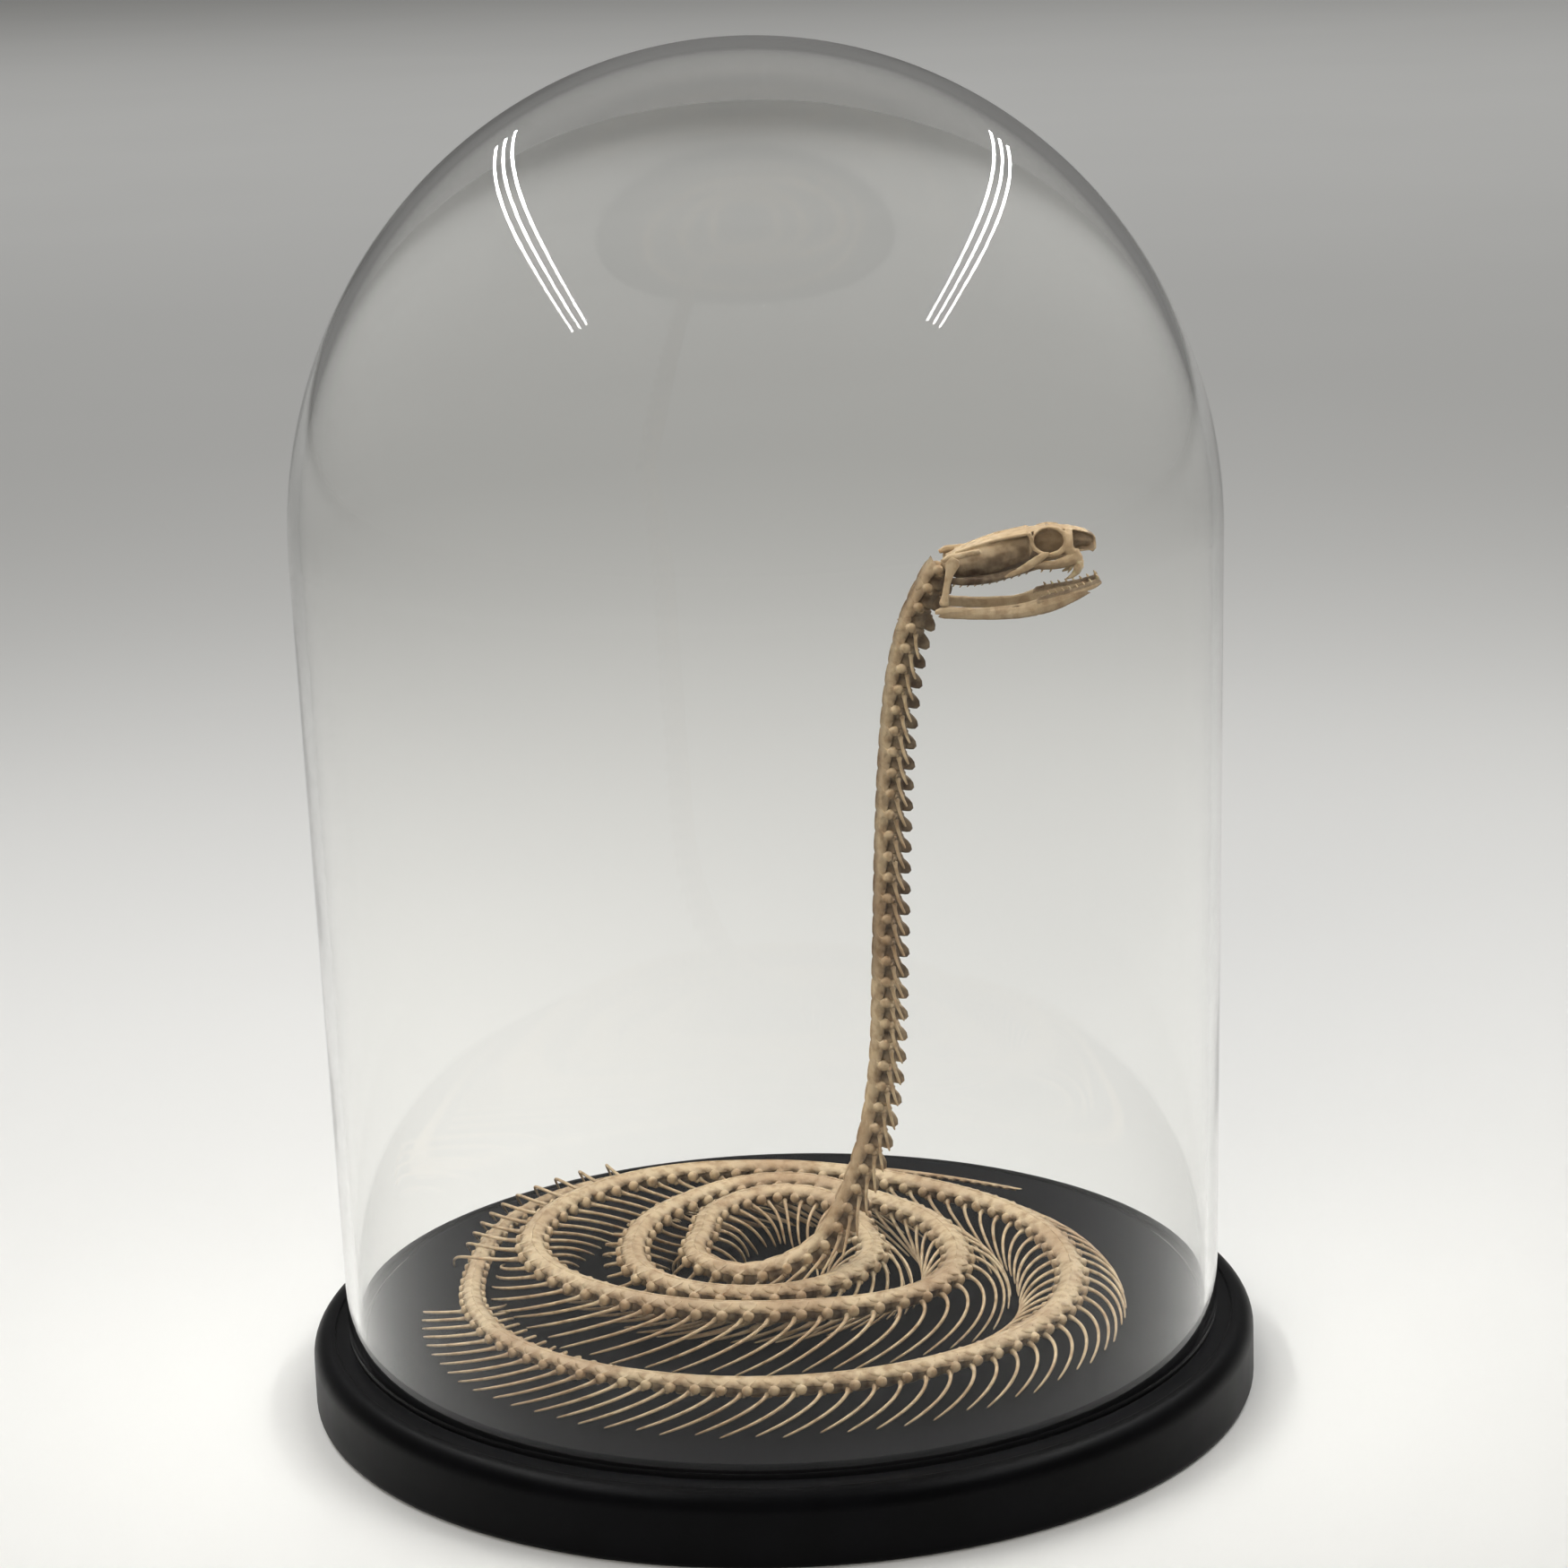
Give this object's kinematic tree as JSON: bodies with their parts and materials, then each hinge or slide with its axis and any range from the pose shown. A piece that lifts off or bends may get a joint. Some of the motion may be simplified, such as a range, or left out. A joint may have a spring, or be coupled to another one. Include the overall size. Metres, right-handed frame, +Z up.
{
  "type": "mounted snake skeleton",
  "caption": "Coiled snake skeleton with raised neck and open-jawed skull, mounted on a dark disc under a clear glass dome on a round black base.",
  "frame": {"origin": "centre of the base's underside, on the surface the base stands on", "axes": "+Z up along the dome's axis; -Y is the front of the display; the skull faces +X"},
  "size_m": [0.249, 0.249, 0.3513],
  "materials": {
    "bone": "dry cleaned bone, cream to tan",
    "skull_bone": "dry cleaned bone, cream with brown stains",
    "black_paint": "turned wood, satin black paint",
    "disc_paint": "board, charcoal satin paint",
    "dome_glass": "clear blown glass"
  },
  "bodies": {
    "root": {"base": "black_paint", "display_disc": "disc_paint", "glass_dome": "dome_glass", "cranium": "skull_bone", "maxilla_left": "skull_bone", "maxilla_right": "skull_bone", "palate_left": "skull_bone", "palate_right": "skull_bone", "quadrate_left": "skull_bone", "quadrate_right": "skull_bone", "mandible_left": "skull_bone", "mandible_right": "skull_bone", "neck_upper": "bone", "neck_lower": "bone", "trunk_01": "bone", "trunk_02": "bone", "trunk_03": "bone", "trunk_04": "bone", "trunk_05": "bone", "trunk_06": "bone", "trunk_07": "bone", "trunk_08": "bone", "trunk_09": "bone", "trunk_10": "bone", "trunk_11": "bone", "trunk_12": "bone", "trunk_13": "bone", "tail_front": "bone", "tail_middle": "bone", "tail_tip": "bone"}
  },
  "joints": []
}
